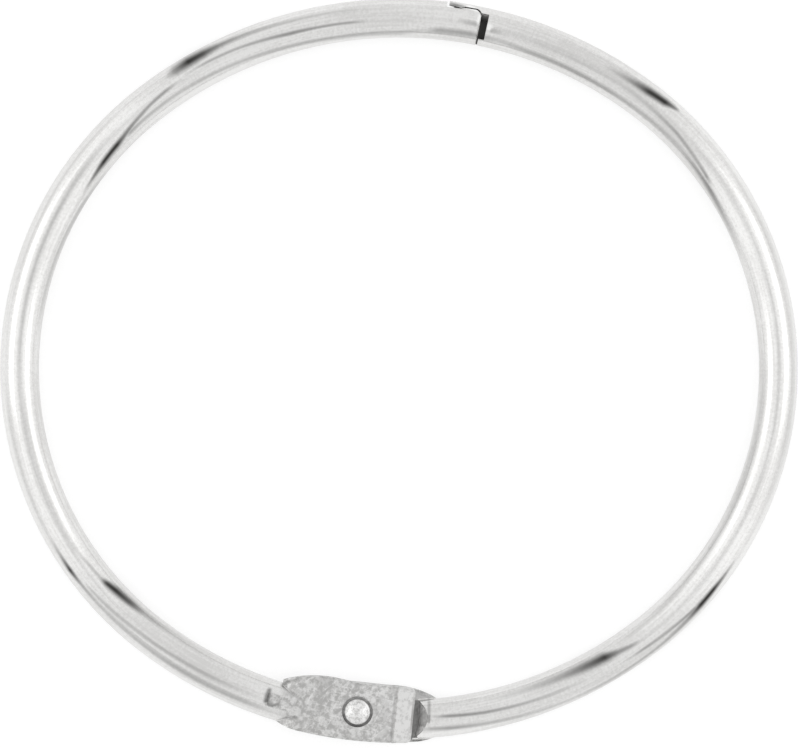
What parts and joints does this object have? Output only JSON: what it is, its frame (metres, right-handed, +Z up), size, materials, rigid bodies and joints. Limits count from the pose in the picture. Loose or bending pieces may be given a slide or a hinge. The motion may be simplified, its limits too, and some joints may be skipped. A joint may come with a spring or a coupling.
{
  "type": "binder ring",
  "caption": "Oval hinged ring of round nickel-plated steel wire that snaps shut through punched sheets.",
  "frame": {"origin": "middle of the closed ring's outline, on the surface that it lies on", "axes": "+X along the ring's longer axis, +Y from the hinge towards the snap closure, +Z up out of the side with the domed rivet head"},
  "size_m": [0.0584, 0.0544, 0.0032],
  "materials": {
    "nickel_wire": "bright nickel plate over drawn steel wire, duller on the pressed leaves",
    "nickel_rivet": "tumbled nickel plate"
  },
  "bodies": {
    "right_half": {"right_half_ring": "nickel_wire"},
    "left_half": {"left_half_ring": "nickel_wire", "hinge_rivet": "nickel_rivet"}
  },
  "joints": [
    {"name": "ring_hinge", "type": "hinge", "parent": "right_half", "child": "left_half", "pos_m": [-0.00304, -0.02494, 0.0016], "axis": [0, 0, 1], "range_deg": [0, 138]}
  ]
}
